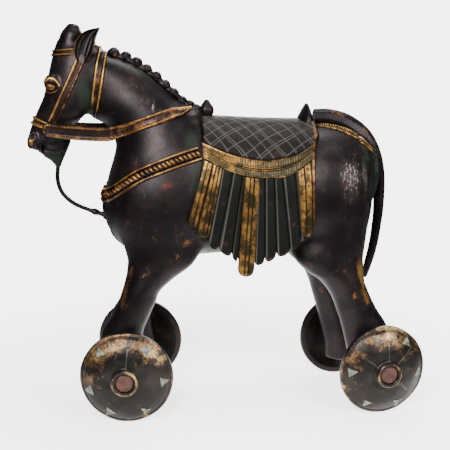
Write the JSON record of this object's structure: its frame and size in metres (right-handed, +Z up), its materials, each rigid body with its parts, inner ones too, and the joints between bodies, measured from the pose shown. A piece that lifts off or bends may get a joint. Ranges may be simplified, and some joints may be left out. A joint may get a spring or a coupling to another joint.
{
  "type": "toy horse on wheels",
  "caption": "Cast bronze toy horse with saddle, fringed cloth, bridle and plaited mane, standing on domed disc wheels that roll on iron axles",
  "frame": {"origin": "on the floor, under the middle of the whole length and width", "axes": "the horse faces -X, its left side is -Y, +Z is up; rest pose as it stands"},
  "size_m": [0.303, 0.119, 0.2926],
  "materials": {
    "dark_bronze": "near-black brown patina, satin, with green verdigris in the creases",
    "saddle_bronze": "near-black patina over cut and cross-hatched relief, satin",
    "worn_gilt_bronze": "rubbed to golden bronze on the raised edges, dark in the hollows",
    "wheel_bronze": "dark patina worn golden and silvery towards the rim",
    "rusted_iron": "rust-red wrought iron, matt",
    "pale_inlay": "greyish white, worn matt",
    "fired_clay": "matt fired clay"
  },
  "bodies": {
    "horse": {"breast_rope": "worn_gilt_bronze", "breast_rope_borders": "worn_gilt_bronze", "browband": "worn_gilt_bronze", "chin_boss": "dark_bronze", "clay_core": "fired_clay", "core_pins": "rusted_iron", "eyelids": "worn_gilt_bronze", "front_axle": "rusted_iron", "head": "dark_bronze", "left_centre_tassels": "worn_gilt_bronze", "left_cheekpiece": "worn_gilt_bronze", "left_crupper": "worn_gilt_bronze", "left_ear": "worn_gilt_bronze", "left_eye": "worn_gilt_bronze", "left_foreleg": "dark_bronze", "left_front_tassels": "worn_gilt_bronze", "left_hindleg": "dark_bronze", "left_lower_saddle_band": "worn_gilt_bronze", "left_rear_tassels": "worn_gilt_bronze", "left_rein": "worn_gilt_bronze", "left_saddle_cloth": "saddle_bronze", "left_upper_saddle_band": "worn_gilt_bronze", "mane_crest": "dark_bronze", "mane_knots": "dark_bronze", "martingale_rod": "dark_bronze", "neck": "dark_bronze", "neck_band": "worn_gilt_bronze", "noseband": "worn_gilt_bronze", "rear_axle": "rusted_iron", "right_centre_tassels": "worn_gilt_bronze", "right_cheekpiece": "worn_gilt_bronze", "right_crupper": "worn_gilt_bronze", "right_ear": "worn_gilt_bronze", "right_eye": "worn_gilt_bronze", "right_foreleg": "dark_bronze", "right_front_tassels": "worn_gilt_bronze", "right_hindleg": "dark_bronze", "right_lower_saddle_band": "worn_gilt_bronze", "right_rear_tassels": "worn_gilt_bronze", "right_rein": "worn_gilt_bronze", "right_saddle_cloth": "saddle_bronze", "right_upper_saddle_band": "worn_gilt_bronze", "saddle_cantle": "saddle_bronze", "saddle_pommel": "saddle_bronze", "saddle_seat": "saddle_bronze", "tail": "dark_bronze", "topknot": "dark_bronze", "torso": "dark_bronze"},
    "front_left_wheel_set": {"front_left_wheel": "wheel_bronze", "front_left_inlays": "pale_inlay"},
    "front_right_wheel_set": {"front_right_wheel": "wheel_bronze", "front_right_inlays": "pale_inlay"},
    "rear_left_wheel_set": {"rear_left_wheel": "wheel_bronze", "rear_left_inlays": "pale_inlay"},
    "rear_right_wheel_set": {"rear_right_wheel": "wheel_bronze", "rear_right_inlays": "pale_inlay"}
  },
  "joints": [
    {"name": "front_left_wheel_spin", "type": "hinge", "parent": "horse", "child": "front_left_wheel_set", "pos_m": [-0.08016, -0.04326, 0.035], "axis": [0.1409, 0.99, 0], "continuous": true},
    {"name": "front_right_wheel_spin", "type": "hinge", "parent": "horse", "child": "front_right_wheel_set", "pos_m": [-0.06784, 0.04326, 0.035], "axis": [0.1409, 0.99, 0], "continuous": true},
    {"name": "rear_left_wheel_spin", "type": "hinge", "parent": "horse", "child": "rear_left_wheel_set", "pos_m": [0.11616, -0.04326, 0.035], "axis": [-0.1409, 0.99, 0], "continuous": true},
    {"name": "rear_right_wheel_spin", "type": "hinge", "parent": "horse", "child": "rear_right_wheel_set", "pos_m": [0.10384, 0.04326, 0.035], "axis": [-0.1409, 0.99, 0], "continuous": true}
  ]
}
